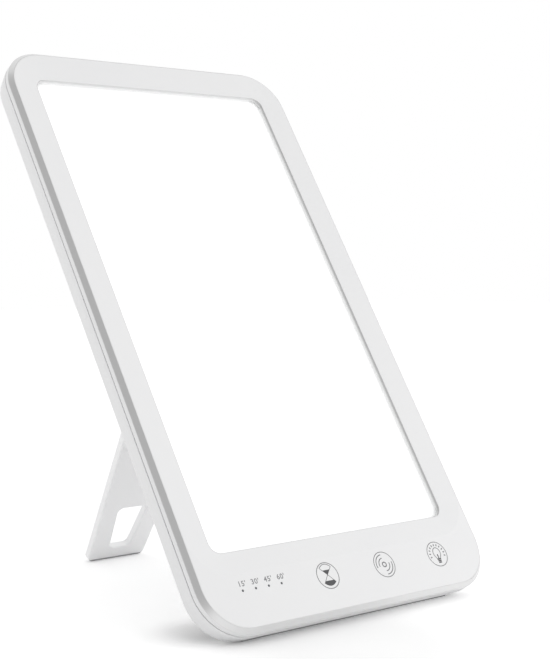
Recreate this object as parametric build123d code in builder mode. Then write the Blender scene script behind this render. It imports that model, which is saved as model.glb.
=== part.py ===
"""Slim light therapy lamp that leans back on a folding kick-stand.

The case is described in panel coordinates: x to the right, height up the front face from its
bottom edge, and depth from the rim of the front face towards the back. PANEL places that face
in the part's frame, where +Z is up, the lamp faces -Y and stands on the plane Z = 0.
"""
from build123d import *
import os
from math import acos, atan2, cos, degrees, hypot, radians, sin, tan

# ---------------------------------------------------------------- case
CASE_WIDTH = 170.0
CASE_HEIGHT = 300.0
CASE_DEPTH = 16.0
CORNER_RADIUS = 22.0
LEAN = 32.43                 # degrees that the face leans back from the vertical

# ---------------------------------------------------------------- front frame and window
TRIM = 2.1                   # width and depth of the silver trim ring at the rim
TRIM_BEVEL = 2.0             # the ring's slanted face
TRIM_FIT = 0.05
RIM_LAND = 0.5               # flat rim between the trim and the sloping border
BORDER_FALL = 1.6            # how far the border slopes down to the window
SIDE_BORDER = 14.9           # case edge to window, left and right
TOP_BORDER = 16.1
BOTTOM_BORDER = 36.0
STRIP_FLAT = 26.0            # height of the flat control strip
WINDOW_RADIUS = 5.5
WINDOW_STEP = 2.5            # wall between the border's inner edge and the diffuser
FACE_WALL = 2.2
LIP_WALL = 1.6
SKIRT_WALL = 3.6
SKIRT_DEPTH = 4.55           # where the frame ends and the shadow gap starts
SHADOW_GAP = 0.5
TONGUE_DEPTH = 5.9
TONGUE_WALL = 1.2

# ---------------------------------------------------------------- rear cover
COVER_WALL = 1.8
COVER_STRAIGHT = 2.0         # upright part of the side before the draft starts
COVER_DRAFT = 12.0
COVER_ROUNDING = 4.0
FIT = 0.1                    # slip fit between moulded parts

# ---------------------------------------------------------------- light stack
DIFFUSER_THICK = 1.5
FILM_THICK = 0.25
REFLECTOR_THICK = 0.2
TRAY_WALL = 0.8
TRAY_BACK_GAP = 0.29         # tray to the wall of the stand's recess
GUIDE_OVERLAP = 3.4          # guide beyond the window on each side
DIFFUSER_MARGIN = 0.7        # diffuser beyond the guide, left and right
LED_GAP = 0.2
LED_HEIGHT = 0.9
LED_LENGTH = 4.0
LED_WIDTH = 1.4
LED_PITCH = 9.0
LED_BOARD_WALL = 1.0
LED_BOARD_MARGIN = 0.9       # board beyond the guide's thickness, front side
LED_TAIL = 5.5               # how far the strip boards reach down beside the control board
TRAY_FIT = 0.2               # gap between the guide and the tray's folded edges
POST_RADIUS = 3.0            # cover posts that press on the tray
POST_X = 50.0
POST_HEIGHTS = (70.0, 150.0, 240.0)

# ---------------------------------------------------------------- control board
BOARD_THICK = 1.2
BOARD_BOTTOM = 11.0
BOARD_TOP_GAP = 0.6          # board's top edge to the tray
BOARD_SIDE_GAP = 19.0        # board's end to the case's side
KEY_PITCH = 34.65            # distance between the three touch keys
KEY_SIDE = 30.95             # last key from the case's side
KEY_HEIGHT = 17.6
KEY_PAD_RADIUS = 4.5         # conductive pads behind the keys
DOT_PITCH = 7.08             # distance between the four timer lights
DOT_SIDE = 22.2              # first light from the case's side
DOT_HEIGHT = 18.25
PIPE_RADIUS = 0.5
PIPE_FIT = 0.05
PIPE_FLANGE_RADIUS = 1.0
PIPE_LED_GAP = 0.2
TIMER_LED_SIZE = (1.6, 1.2, 0.7)
CHIP_SIZE = (7.0, 7.0, 1.0)
CHIP_PLACE = (-30.0, 20.0)
INDUCTOR_SIZE = (6.6, 6.6, 3.0)
INDUCTOR_GAP = 7.7           # inductor to the power inlet
INDUCTOR_MIDDLE = 17.0
CAPACITOR_RADIUS = 3.15
CAPACITOR_LENGTH = 5.4
CAPACITOR_GAP = 4.55         # capacitor to the inductor
CAPACITOR_PITCH = 9.0
CAPACITOR_MIDDLE = 18.0
CONNECTOR_SIZE = (5.0, 5.6, 2.8)
CONNECTOR_END = 5.5          # connector's middle from the board's end
CONNECTOR_DROP = 3.4         # connector's middle below the board's top edge
LEAD_RADIUS = 0.6
LEAD_SPACING = 2.0

# ---------------------------------------------------------------- power inlet
JACK_HEIGHT = 19.5           # above the bottom edge
JACK_BODY = (11.0, 9.0, 6.6)     # along x, along the height, along the depth
JACK_NOSE_RADIUS = 3.2
JACK_NOSE_LENGTH = 3.5
JACK_FIT = 0.15
JACK_BORE_RADIUS = 2.8
JACK_BORE_DEPTH = 9.5
JACK_PIN_RADIUS = 1.0
JACK_PIN_SHORT = 1.0         # pin's end behind the nose's face
JACK_INSIDE = 5.0            # body's end from the case's side
JACK_BACK_GAP = 0.5          # body to the cover's back wall
TAB_MARGIN = 0.5             # board beyond the jack, above and below
TAB_SHORT = 1.0              # board's end behind the jack's body

# ---------------------------------------------------------------- kick-stand
HINGE_HEIGHT = 177.7         # hinge axis above the bottom edge, along the face
FOOT_MARGIN = 6.0            # folded foot above the bottom edge
STAND_SHARE = 0.26           # the stand's thickness as a share of the case's depth
STAND_FOOT_WIDTH = 35.2
STAND_HINGE_WIDTH = 53.4
STAND_CORNER = 3.0
STAND_CLEARANCE = 0.4
BARREL_STRAIGHT = 4.0        # straight-sided part of the stand at its hinge
HOLE_FOOT_MARGIN = 7.8
HOLE_LENGTH = 26.2
HOLE_FOOT_WIDTH = 12.9
HOLE_HINGE_WIDTH = 18.4
HOLE_CORNER = 3.0
STAND_ROUNDING = 0.6         # rounded long edges of the stand
PAD_THICK = 1.2
BARREL_CLEARANCE = 0.3
RECESS_FLOOR_GAP = 0.3
RECESS_WALL = 1.4
THUMB_RADIUS = 9.0           # notch beside the folded stand
THUMB_FROM_FOOT = 30.0
PIN_RADIUS = 1.0
PIN_RUNNING_FIT = 0.05
PIN_SEAT_FIT = 0.03
PIN_OVERHANG = 6.0
PIN_END_FIT = 0.2
WASHER_GAP = 0.05
WASHER_RADIUS = 1.8
CAP_SUNK = 2.0               # cap below the back
CAP_PROUD = 2.0              # cap above the back
CAP_SIDE = 8.5               # cap beyond the stand on each side
CAP_ABOVE = 13.0             # cap above the hinge axis
CAP_BELOW = 4.5              # cap's ears below the hinge axis
CAP_CORNER = 3.0
CAP_ROUNDING = 0.6
CAP_FIT = 0.15
PLATFORM_WALL = 1.6
SEAT_HALF_WIDTH = 3.5        # block under the pin's end, each side of the axis
STOP_GAP = 0.04

# ---------------------------------------------------------------- rubber and screws
STRIP_PROUD = 0.25           # rubber strip below the case
STRIP_SUNK = 0.9
STRIP_HALF_WIDTH = 1.2
STRIP_END_GAP = 1.0          # strip's end to the case's round corner
SCREW_RADIUS = 1.0
SCREW_PILOT_FIT = 0.02
SCREW_CLEARANCE = 0.2
SCREW_HEAD_RADIUS = 1.9
SCREW_HEAD_HEIGHT = 1.2
SCREW_HEAD_FIT = 0.2
SCREW_SOCKET_RADIUS = 0.85
SCREW_SOCKET_DEPTH = 0.6
SCREW_END_GAP = 0.4          # pilot hole beyond the screw's end
COUNTERBORE = 2.4            # depth of a screw head's hole in the back
BOSS_RADIUS = 2.0
COLUMN_RADIUS = 3.2
CASE_BOSS_END = 10.0         # depth where a frame boss meets a cover column
CASE_SCREW_BITE = 5.0
SIDE_SCREW_INSET = 6.4
TOP_SCREW_INSET = 8.0
BOTTOM_SCREW_INSET = 8.5
SIDE_SCREW_HEIGHTS = (90.0, 215.0)
END_SCREW_SIDE = 25.0        # top and bottom screws from the case's side
CAP_SCREW_X = 18.0
CAP_SCREW_RISE = 7.5
CAP_SCREW_BITE = 3.0
BOARD_SCREW_END = 16.0       # outer screws from the board's end
BOARD_SCREW_DROP = 4.5       # screws below the board's top edge
BOARD_SCREW_BITE = 2.6

os.makedirs("parts", exist_ok=True)

# ---------------------------------------------------------------- derived places
lean = radians(LEAN)
half_width = CASE_WIDTH / 2
diffuser_front = BORDER_FALL + WINDOW_STEP
film_front = diffuser_front + DIFFUSER_THICK
guide_front = film_front + FILM_THICK
stand_thick = STAND_SHARE * CASE_DEPTH
recess_floor = CASE_DEPTH - stand_thick - RECESS_FLOOR_GAP
recess_front = recess_floor - RECESS_WALL
tray_back = recess_front - TRAY_BACK_GAP
tray_front = tray_back - TRAY_WALL
reflector_front = tray_front - REFLECTOR_THICK
cover_front = SKIRT_DEPTH + SHADOW_GAP
draft_front = cover_front + COVER_STRAIGHT
cover_inside = CASE_DEPTH - COVER_WALL
head_seat = CASE_DEPTH - COUNTERBORE
cap_front = CASE_DEPTH - CAP_SUNK
cap_back = CASE_DEPTH + CAP_PROUD
cap_head_seat = cap_back - COUNTERBORE
board_back = cover_inside - JACK_BACK_GAP - JACK_BODY[2]
board_front = board_back - BOARD_THICK
window_half = half_width - SIDE_BORDER
window_height = CASE_HEIGHT - TOP_BORDER - BOTTOM_BORDER
window_middle = BOTTOM_BORDER + window_height / 2
guide_half = window_half + GUIDE_OVERLAP
guide_height = window_height + 2 * GUIDE_OVERLAP
guide_heights = (BOTTOM_BORDER - GUIDE_OVERLAP, BOTTOM_BORDER - GUIDE_OVERLAP + guide_height)
tray_heights = (guide_heights[0] - TRAY_FIT - TRAY_WALL, guide_heights[1] + TRAY_FIT + TRAY_WALL)
board_half = half_width - BOARD_SIDE_GAP
board_top = tray_heights[0] - BOARD_TOP_GAP
led_board_inner = guide_half + LED_GAP + LED_HEIGHT
led_board_outer = led_board_inner + LED_BOARD_WALL
led_board_front = guide_front - LED_BOARD_MARGIN

# The rear edge's rounding decides how low the case reaches when it leans.
draft = radians(COVER_DRAFT)
rounding_depth = CASE_DEPTH - COVER_ROUNDING
rounding_inset = (
    (rounding_depth + COVER_ROUNDING * sin(draft) - draft_front) * tan(draft)
    + COVER_ROUNDING * cos(draft)
)
case_low = rounding_inset * cos(lean) - rounding_depth * sin(lean) - COVER_ROUNDING
face_z = STRIP_PROUD - case_low

# The stand: its length follows from the hinge and the folded foot, its angle from the floor.
axis_depth = CASE_DEPTH - stand_thick / 2
stand_length = HINGE_HEIGHT - FOOT_MARGIN
axis_z = face_z + HINGE_HEIGHT * cos(lean) - axis_depth * sin(lean)
stand_reach = hypot(stand_length, stand_thick / 2)
stand_tilt = atan2(stand_thick / 2, stand_length) + acos(axis_z / stand_reach)
stand_opening = stand_tilt + lean
axis_y_from_face = HINGE_HEIGHT * sin(lean) + axis_depth * cos(lean)
foot_y_from_face = (
    axis_y_from_face + stand_length * sin(stand_tilt) + stand_thick / 2 * cos(stand_tilt)
)
front_y_from_face = TRIM_BEVEL * sin(lean)
face_y = -(front_y_from_face + foot_y_from_face) / 2

PANEL = Plane(origin=(0, face_y, face_z), x_dir=(1, 0, 0), z_dir=(0, -cos(lean), sin(lean)))
axis_y = face_y + axis_y_from_face
STAND = Plane(
    origin=(0, axis_y, axis_z), x_dir=(1, 0, 0), z_dir=(0, cos(stand_tilt), sin(stand_tilt))
)
FOLDED = Plane(
    origin=PANEL.from_local_coords((0, HINGE_HEIGHT, -axis_depth)),
    x_dir=(1, 0, 0),
    z_dir=(0, cos(lean), -sin(lean)),
)


def at_depth(depth):
    """The plane parallel to the face, this far behind its rim."""
    return PANEL.offset(-depth)


def folded_at(depth):
    """The same plane, facing the back, with the hinge axis as X and the foot towards +Y."""
    return FOLDED.offset(depth - axis_depth)


def across(x, height, depth):
    """A plane whose normal runs along +X, at a place in panel coordinates."""
    place = PANEL.from_local_coords((x, height, -depth))
    return Plane(origin=place, x_dir=PANEL.y_dir, z_dir=(1, 0, 0))


def case_outline(inset, mode=Mode.ADD):
    """The case's outline, moved inwards by a distance."""
    with Locations((0, CASE_HEIGHT / 2)):
        RectangleRounded(
            CASE_WIDTH - 2 * inset, CASE_HEIGHT - 2 * inset, CORNER_RADIUS - inset, mode=mode
        )


def window_outline(margin):
    """The window's outline, moved outwards by a distance."""
    with Locations((0, window_middle)):
        RectangleRounded(
            2 * (window_half + margin), window_height + 2 * margin, WINDOW_RADIUS + margin
        )


def stand_half_width(from_axis):
    """Half the stand's width at a distance from its hinge axis."""
    share = (max(from_axis, BARREL_STRAIGHT) - BARREL_STRAIGHT) / (stand_length - BARREL_STRAIGHT)
    return (STAND_HINGE_WIDTH + (STAND_FOOT_WIDTH - STAND_HINGE_WIDTH) * share) / 2


def stand_outline(sketch, margin, start, end):
    """The stand's tapered outline between two distances from the hinge axis."""
    right = [(stand_half_width(y) + margin, y) for y in (start, BARREL_STRAIGHT, end)]
    left = [(-x, y) for x, y in reversed(right)]
    Polygon(*right, *left, align=None)
    foot_corners = sketch.vertices().group_by(Axis.Y)[-1]
    fillet(foot_corners, STAND_CORNER + margin)


def block(x_range, height_range, depth_range, mode=Mode.ADD):
    """A block between two values of x, of height and of depth."""
    x_middle = sum(x_range) / 2
    height_middle = sum(height_range) / 2
    with BuildSketch(at_depth(depth_range[0])) as section:
        with Locations((x_middle, height_middle)):
            Rectangle(x_range[1] - x_range[0], height_range[1] - height_range[0])
    extrude(section.sketch, amount=-(depth_range[1] - depth_range[0]), mode=mode)


def posts(places, radius, depth_range, mode=Mode.ADD):
    """Round posts or holes at right angles to the face, between two depths."""
    with BuildSketch(at_depth(depth_range[0])) as section:
        with Locations(*places):
            Circle(radius)
    extrude(section.sketch, amount=-(depth_range[1] - depth_range[0]), mode=mode)


def screws(places, head_depth, length):
    """Pan head screws driven from the back: the head's seat is at head_depth."""
    with BuildPart() as group:
        posts(places, SCREW_RADIUS, (head_depth - length, head_depth))
        posts(places, SCREW_HEAD_RADIUS, (head_depth, head_depth + SCREW_HEAD_HEIGHT))
        with BuildSketch(at_depth(head_depth + SCREW_HEAD_HEIGHT)) as sockets:
            with Locations(*places):
                RegularPolygon(SCREW_SOCKET_RADIUS, 6)
        extrude(sockets.sketch, amount=SCREW_SOCKET_DEPTH, mode=Mode.SUBTRACT)
    return group


def bar(x_range, height, depth, radius, mode=Mode.ADD):
    """A round bar or bore along X, between two values of x."""
    with BuildSketch(across(x_range[0], height, depth)) as section:
        Circle(radius)
    extrude(section.sketch, amount=x_range[1] - x_range[0], mode=mode)


def both_sides(low, high):
    """The same range of x on the left and on the right."""
    return [(-high, -low), (low, high)]


def save(piece, label):
    """Give a finished piece its label and write its STEP file."""
    piece.part.label = label
    export_step(piece.part, f"parts/{label}.step")


# ---------------------------------------------------------------- places of repeated pieces
side_screw_x = half_width - SIDE_SCREW_INSET
end_screw_x = half_width - END_SCREW_SIDE
end_screw_heights = (BOTTOM_SCREW_INSET, CASE_HEIGHT - TOP_SCREW_INSET)
case_screw_places = [
    (side * side_screw_x, height) for side in (-1, 1) for height in SIDE_SCREW_HEIGHTS
]
case_screw_places += [
    (side * end_screw_x, height) for side in (-1, 1) for height in end_screw_heights
]
cap_screw_places = [(side * CAP_SCREW_X, HINGE_HEIGHT + CAP_SCREW_RISE) for side in (-1, 1)]
board_screw_x = board_half - BOARD_SCREW_END
board_screw_places = [
    (step * board_screw_x, board_top - BOARD_SCREW_DROP) for step in (-1, 0, 1)
]
post_places = [(side * POST_X, height) for side in (-1, 1) for height in POST_HEIGHTS]
key_places = [
    (half_width - KEY_SIDE - step * KEY_PITCH, KEY_HEIGHT) for step in (2, 1, 0)
]
dot_places = [(DOT_SIDE - half_width + step * DOT_PITCH, DOT_HEIGHT) for step in range(4)]
jack_depth = board_back + JACK_BODY[2] / 2
jack_body_end = half_width - JACK_INSIDE
jack_body_start = jack_body_end - JACK_BODY[0]
jack_nose_end = jack_body_end + JACK_NOSE_LENGTH
inductor_x = jack_body_start - INDUCTOR_GAP - INDUCTOR_SIZE[0] / 2
capacitor_x = inductor_x - INDUCTOR_SIZE[0] / 2 - CAPACITOR_GAP - CAPACITOR_RADIUS
capacitor_places = [
    (capacitor_x - step * CAPACITOR_PITCH, CAPACITOR_MIDDLE) for step in (1, 0)
]
connector_x = board_half - CONNECTOR_END
connector_height = board_top - CONNECTOR_DROP
case_pilot = (CASE_BOSS_END - CASE_SCREW_BITE - SCREW_END_GAP, CASE_BOSS_END)
board_pilot = (board_front - BOARD_SCREW_BITE - SCREW_END_GAP, board_front)
cap_pilot = (cap_front - CAP_SCREW_BITE - SCREW_END_GAP, cap_front)
pilot_radius = SCREW_RADIUS + SCREW_PILOT_FIT
passage_radius = SCREW_RADIUS + SCREW_CLEARANCE
head_hole_radius = SCREW_HEAD_RADIUS + SCREW_HEAD_FIT

# ---------------------------------------------------------------- front frame
with BuildPart() as front_frame:
    with BuildSketch(at_depth(TRIM)):
        case_outline(0)
    extrude(amount=-(SKIRT_DEPTH - TRIM))
    with BuildSketch(at_depth(0)):
        case_outline(TRIM + TRIM_FIT)
    extrude(amount=-TRIM)
    with BuildSketch(at_depth(FACE_WALL)):
        case_outline(SKIRT_WALL)
    extrude(amount=-(SKIRT_DEPTH - FACE_WALL), mode=Mode.SUBTRACT)
    # tongue that closes the shadow gap and centres the rear cover
    tongue_outer = COVER_WALL + FIT
    with BuildSketch(at_depth(SKIRT_DEPTH)):
        case_outline(tongue_outer)
        case_outline(tongue_outer + TONGUE_WALL, mode=Mode.SUBTRACT)
    extrude(amount=-(TONGUE_DEPTH - SKIRT_DEPTH))
    # lip around the window
    with BuildSketch(at_depth(FACE_WALL)):
        window_outline(LIP_WALL)
    extrude(amount=-(diffuser_front - FACE_WALL))
    # border that slopes down to the window
    border_inset = TRIM + RIM_LAND
    border_height = CASE_HEIGHT - border_inset - STRIP_FLAT
    with BuildSketch(at_depth(0)):
        with Locations((0, STRIP_FLAT + border_height / 2)):
            RectangleRounded(
                CASE_WIDTH - 2 * border_inset, border_height, CORNER_RADIUS - border_inset
            )
    with BuildSketch(at_depth(BORDER_FALL)):
        window_outline(0)
    loft(ruled=True, mode=Mode.SUBTRACT)
    with BuildSketch(at_depth(0)):
        window_outline(0)
    extrude(amount=-diffuser_front, mode=Mode.SUBTRACT)
    # bosses for the case screws and the control board, holes for the light pipes
    posts(case_screw_places, BOSS_RADIUS, (FACE_WALL, CASE_BOSS_END))
    posts(case_screw_places, pilot_radius, case_pilot, mode=Mode.SUBTRACT)
    posts(board_screw_places, BOSS_RADIUS, (FACE_WALL, board_front))
    posts(board_screw_places, pilot_radius, board_pilot, mode=Mode.SUBTRACT)
    posts(dot_places, PIPE_RADIUS + PIPE_FIT, (0, FACE_WALL), mode=Mode.SUBTRACT)
    # a thin case brings the power inlet up to the tongue, which makes room for it
    inlet = (jack_body_end, half_width)
    bar(inlet, JACK_HEIGHT, jack_depth, JACK_NOSE_RADIUS + JACK_FIT, Mode.SUBTRACT)
save(front_frame, "front_frame")

with BuildPart() as edge_trim:
    with BuildSketch(at_depth(TRIM)):
        case_outline(0)
        case_outline(TRIM, mode=Mode.SUBTRACT)
    extrude(amount=TRIM)
    rim_face = edge_trim.faces().sort_by(Axis(PANEL.origin, PANEL.z_dir))[-1]
    chamfer(rim_face.outer_wire().edges(), TRIM_BEVEL)
save(edge_trim, "edge_trim")

# ---------------------------------------------------------------- rear cover
recess_start = -(stand_thick / 2 + BARREL_CLEARANCE)
recess_end = stand_length + STAND_CLEARANCE
recess_half = STAND_HINGE_WIDTH / 2 + STAND_CLEARANCE
pin_half = recess_half + PIN_OVERHANG
pin_channel_half = pin_half + PIN_END_FIT
cap_half = recess_half + CAP_SIDE
cap_bottom = HINGE_HEIGHT - CAP_BELOW
cap_top = HINGE_HEIGHT + CAP_ABOVE
cap_middle = (cap_bottom + cap_top) / 2
cap_edge = HINGE_HEIGHT - recess_start
thumb_from_axis = stand_length - THUMB_FROM_FOOT
thumb_x = stand_half_width(thumb_from_axis)
thumb_place = (thumb_x, HINGE_HEIGHT - thumb_from_axis)
strip_length = CASE_WIDTH - 2 * (CORNER_RADIUS + STRIP_END_GAP)
strip_middle = face_y + rounding_inset * sin(lean) + rounding_depth * cos(lean)

# The hollow is made first: what stands up inside the cover is left out of it.
with BuildPart() as hollow:
    with BuildSketch(at_depth(cover_front)):
        case_outline(COVER_WALL)
    extrude(amount=-COVER_STRAIGHT)
    with BuildSketch(at_depth(draft_front)):
        case_outline(COVER_WALL)
    extrude(amount=-(cover_inside - draft_front), taper=COVER_DRAFT)
    inner_back = hollow.faces().sort_by(Axis(PANEL.origin, PANEL.z_dir))[0]
    fillet(inner_back.edges(), COVER_ROUNDING - COVER_WALL)
    # walls of the recess that the stand folds into, with its thumb notch
    with BuildSketch(folded_at(recess_front)) as recess_walls:
        stand_outline(recess_walls, STAND_CLEARANCE + RECESS_WALL,
                      recess_start - RECESS_WALL, recess_end + RECESS_WALL)
    extrude(amount=COVER_ROUNDING + COVER_WALL, mode=Mode.SUBTRACT)
    posts([thumb_place], THUMB_RADIUS + RECESS_WALL, (recess_front, CASE_DEPTH), Mode.SUBTRACT)
    # platform and blocks under the hinge cap
    platform = (cap_front - PLATFORM_WALL, CASE_DEPTH)
    cap_x = (-cap_half - COVER_WALL, cap_half + COVER_WALL)
    block(cap_x, (cap_bottom - COVER_WALL, cap_top + COVER_WALL), platform, Mode.SUBTRACT)
    seat_heights = (HINGE_HEIGHT - SEAT_HALF_WIDTH, HINGE_HEIGHT + SEAT_HALF_WIDTH)
    for x_range in both_sides(recess_half, cap_half):
        block(x_range, seat_heights, (recess_front, CASE_DEPTH), Mode.SUBTRACT)
    posts(cap_screw_places, COLUMN_RADIUS, (recess_front, CASE_DEPTH), Mode.SUBTRACT)
    # columns for the case screws and posts that press on the tray
    posts(case_screw_places, COLUMN_RADIUS, (CASE_BOSS_END, CASE_DEPTH), Mode.SUBTRACT)
    posts(post_places, POST_RADIUS, (tray_back, CASE_DEPTH), Mode.SUBTRACT)

with BuildPart() as rear_cover:
    with BuildSketch(at_depth(cover_front)):
        case_outline(0)
    extrude(amount=-COVER_STRAIGHT)
    with BuildSketch(at_depth(draft_front)):
        case_outline(0)
    extrude(amount=-(CASE_DEPTH - draft_front), taper=COVER_DRAFT)
    outer_back = rear_cover.faces().sort_by(Axis(PANEL.origin, PANEL.z_dir))[0]
    fillet(outer_back.edges(), COVER_ROUNDING)
    add(hollow.part, mode=Mode.SUBTRACT)
    # recess, thumb notch, pocket of the cap and channel of the pin
    with BuildSketch(folded_at(recess_floor)) as recess:
        stand_outline(recess, STAND_CLEARANCE, recess_start, recess_end)
    extrude(amount=CASE_DEPTH, mode=Mode.SUBTRACT)
    posts([thumb_place], THUMB_RADIUS, (recess_floor, CASE_DEPTH), Mode.SUBTRACT)
    with BuildSketch(at_depth(cap_front)):
        with Locations((0, cap_middle)):
            RectangleRounded(
                2 * (cap_half + CAP_FIT), cap_top - cap_bottom + 2 * CAP_FIT, CAP_CORNER + CAP_FIT
            )
    extrude(amount=-CASE_DEPTH, mode=Mode.SUBTRACT)
    channel = (-pin_channel_half, pin_channel_half)
    bar(channel, HINGE_HEIGHT, axis_depth, PIN_RADIUS + PIN_SEAT_FIT, Mode.SUBTRACT)
    # screw holes
    posts(case_screw_places, passage_radius, (CASE_BOSS_END, CASE_DEPTH), Mode.SUBTRACT)
    posts(case_screw_places, head_hole_radius, (head_seat, CASE_DEPTH), Mode.SUBTRACT)
    posts(cap_screw_places, pilot_radius, cap_pilot, Mode.SUBTRACT)
    # opening for the power inlet, groove for the rubber strip
    bar(inlet, JACK_HEIGHT, jack_depth, JACK_NOSE_RADIUS + JACK_FIT, Mode.SUBTRACT)
    with BuildSketch(Plane.XY):
        with Locations((0, strip_middle)):
            Rectangle(strip_length, 2 * STRIP_HALF_WIDTH)
    extrude(amount=STRIP_PROUD + STRIP_SUNK, mode=Mode.SUBTRACT)
save(rear_cover, "rear_cover")

with BuildPart() as base_strip:
    with BuildSketch(Plane.XY):
        with Locations((0, strip_middle)):
            Rectangle(strip_length, 2 * STRIP_HALF_WIDTH)
    extrude(amount=STRIP_PROUD + STRIP_SUNK)
save(base_strip, "base_strip")

# ---------------------------------------------------------------- kick-stand and hinge
with BuildPart() as stand_plate:
    with BuildSketch(STAND.offset(-stand_thick / 2)) as plate:
        stand_outline(plate, 0, 0, stand_length)
        hole_start = stand_length - HOLE_FOOT_MARGIN - HOLE_LENGTH
        hole_end = stand_length - HOLE_FOOT_MARGIN
        hole = [(HOLE_HINGE_WIDTH / 2, hole_start), (HOLE_FOOT_WIDTH / 2, hole_end)]
        hole += [(-x, y) for x, y in reversed(hole)]
        Polygon(*hole, align=None, mode=Mode.SUBTRACT)
        fillet(plate.face().inner_wires()[0].vertices(), HOLE_CORNER)
    extrude(amount=stand_thick)
    # barrel at the hinge, then the rounded long edges
    stand_side = STAND_HINGE_WIDTH / 2
    bar((-stand_side, stand_side), HINGE_HEIGHT, axis_depth, stand_thick / 2)
    broad_faces = stand_plate.faces().filter_by(STAND)
    side_edges = broad_faces.edges().filter_by(lambda edge: abs(edge.tangent_at(0.5).X) < 0.9)
    fillet(side_edges, STAND_ROUNDING)

with BuildPart() as kick_stand:
    add(stand_plate.part)
    with BuildSketch(STAND.offset(-stand_thick / 2)):
        with Locations((0, stand_length - PAD_THICK / 2)):
            Rectangle(STAND_HINGE_WIDTH, PAD_THICK)
    extrude(amount=stand_thick, mode=Mode.SUBTRACT)
    bore = (-stand_side, stand_side)
    bar(bore, HINGE_HEIGHT, axis_depth, PIN_RADIUS + PIN_RUNNING_FIT, Mode.SUBTRACT)
save(kick_stand, "kick_stand")

with BuildPart() as foot_pad:
    add(stand_plate.part)
    with BuildSketch(STAND.offset(-stand_thick / 2)):
        with Locations((0, stand_length - PAD_THICK / 2)):
            Rectangle(STAND_HINGE_WIDTH, PAD_THICK)
    extrude(amount=stand_thick, mode=Mode.INTERSECT)
save(foot_pad, "foot_pad")

with BuildPart() as hinge_pin:
    bar((-pin_half, pin_half), HINGE_HEIGHT, axis_depth, PIN_RADIUS)
save(hinge_pin, "hinge_pin")

with BuildPart() as hinge_washers:
    for x_range in both_sides(stand_side + WASHER_GAP, recess_half):
        bar(x_range, HINGE_HEIGHT, axis_depth, WASHER_RADIUS)
    washer_bore = (-recess_half, recess_half)
    bar(washer_bore, HINGE_HEIGHT, axis_depth, PIN_RADIUS + PIN_RUNNING_FIT, Mode.SUBTRACT)
save(hinge_washers, "hinge_washers")

with BuildPart() as hinge_cap:
    with BuildSketch(at_depth(cap_front)):
        with Locations((0, cap_middle)):
            RectangleRounded(2 * cap_half, cap_top - cap_bottom, CAP_CORNER)
    extrude(amount=-(cap_back - cap_front))
    stand_space = (-recess_half, recess_half)
    block(stand_space, (cap_bottom, cap_edge), (cap_front, CASE_DEPTH), Mode.SUBTRACT)
    # slanted stop that the open stand's back rests on
    with BuildSketch(STAND.offset(stand_thick / 2 + STOP_GAP)):
        Rectangle(2 * recess_half, 4 * CAP_ABOVE)
    extrude(amount=-2 * CAP_ABOVE, mode=Mode.SUBTRACT)
    bar(channel, HINGE_HEIGHT, axis_depth, PIN_RADIUS + PIN_SEAT_FIT, Mode.SUBTRACT)
    cap_face = hinge_cap.faces().sort_by(Axis(PANEL.origin, PANEL.z_dir))[0]
    fillet(cap_face.edges(), CAP_ROUNDING)
    posts(cap_screw_places, passage_radius, (cap_front, cap_back), Mode.SUBTRACT)
    posts(cap_screw_places, head_hole_radius, (cap_head_seat, cap_back), Mode.SUBTRACT)
save(hinge_cap, "hinge_cap")

# ---------------------------------------------------------------- light stack
diffuser_half = guide_half + DIFFUSER_MARGIN
with BuildPart() as diffuser_plate:
    block((-diffuser_half, diffuser_half), guide_heights, (diffuser_front, film_front))
save(diffuser_plate, "diffuser_plate")

with BuildPart() as diffuser_film:
    block((-guide_half, guide_half), guide_heights, (film_front, guide_front))
save(diffuser_film, "diffuser_film")

with BuildPart() as light_guide:
    block((-guide_half, guide_half), guide_heights, (guide_front, reflector_front))
save(light_guide, "light_guide")

with BuildPart() as reflector_sheet:
    block((-guide_half, guide_half), guide_heights, (reflector_front, tray_front))
save(reflector_sheet, "reflector_sheet")

tray_half = led_board_outer + TRAY_WALL
with BuildPart() as back_tray:
    block((-tray_half, tray_half), tray_heights, (tray_front, tray_back))
    for x_range in both_sides(led_board_outer, tray_half):
        block(x_range, guide_heights, (led_board_front, tray_front))
    for edge in (tray_heights[0], tray_heights[1] - TRAY_WALL):
        edge_heights = (edge, edge + TRAY_WALL)
        block((-window_half, window_half), edge_heights, (led_board_front, tray_front))
save(back_tray, "back_tray")

led_count = int((guide_height - LED_LENGTH) / LED_PITCH) + 1
led_middle = sum(guide_heights) / 2
led_depth = (guide_front + reflector_front) / 2
for name, side in (("left", -1), ("right", 1)):
    with BuildPart() as led_board:
        board_x = sorted((side * led_board_inner, side * led_board_outer))
        board_heights = (board_top - LED_TAIL, guide_heights[1])
        block(board_x, board_heights, (led_board_front, tray_front))
    save(led_board, f"led_board_{name}")
    with BuildPart() as leds:
        for number in range(led_count):
            middle = led_middle + (number - (led_count - 1) / 2) * LED_PITCH
            led_x = sorted((side * (led_board_inner - LED_HEIGHT), side * led_board_inner))
            led_heights = (middle - LED_LENGTH / 2, middle + LED_LENGTH / 2)
            led_depths = (led_depth - LED_WIDTH / 2, led_depth + LED_WIDTH / 2)
            block(led_x, led_heights, led_depths)
    save(leds, f"leds_{name}")

# ---------------------------------------------------------------- control board
with BuildPart() as control_board:
    block((-board_half, board_half), (BOARD_BOTTOM, board_top), (board_front, board_back))
    tab_half = JACK_BODY[1] / 2 + TAB_MARGIN
    block((0, jack_body_end - TAB_SHORT), (JACK_HEIGHT - tab_half, JACK_HEIGHT + tab_half),
          (board_front, board_back))
    posts(board_screw_places, passage_radius, (board_front, board_back), Mode.SUBTRACT)
save(control_board, "control_board")


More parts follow.
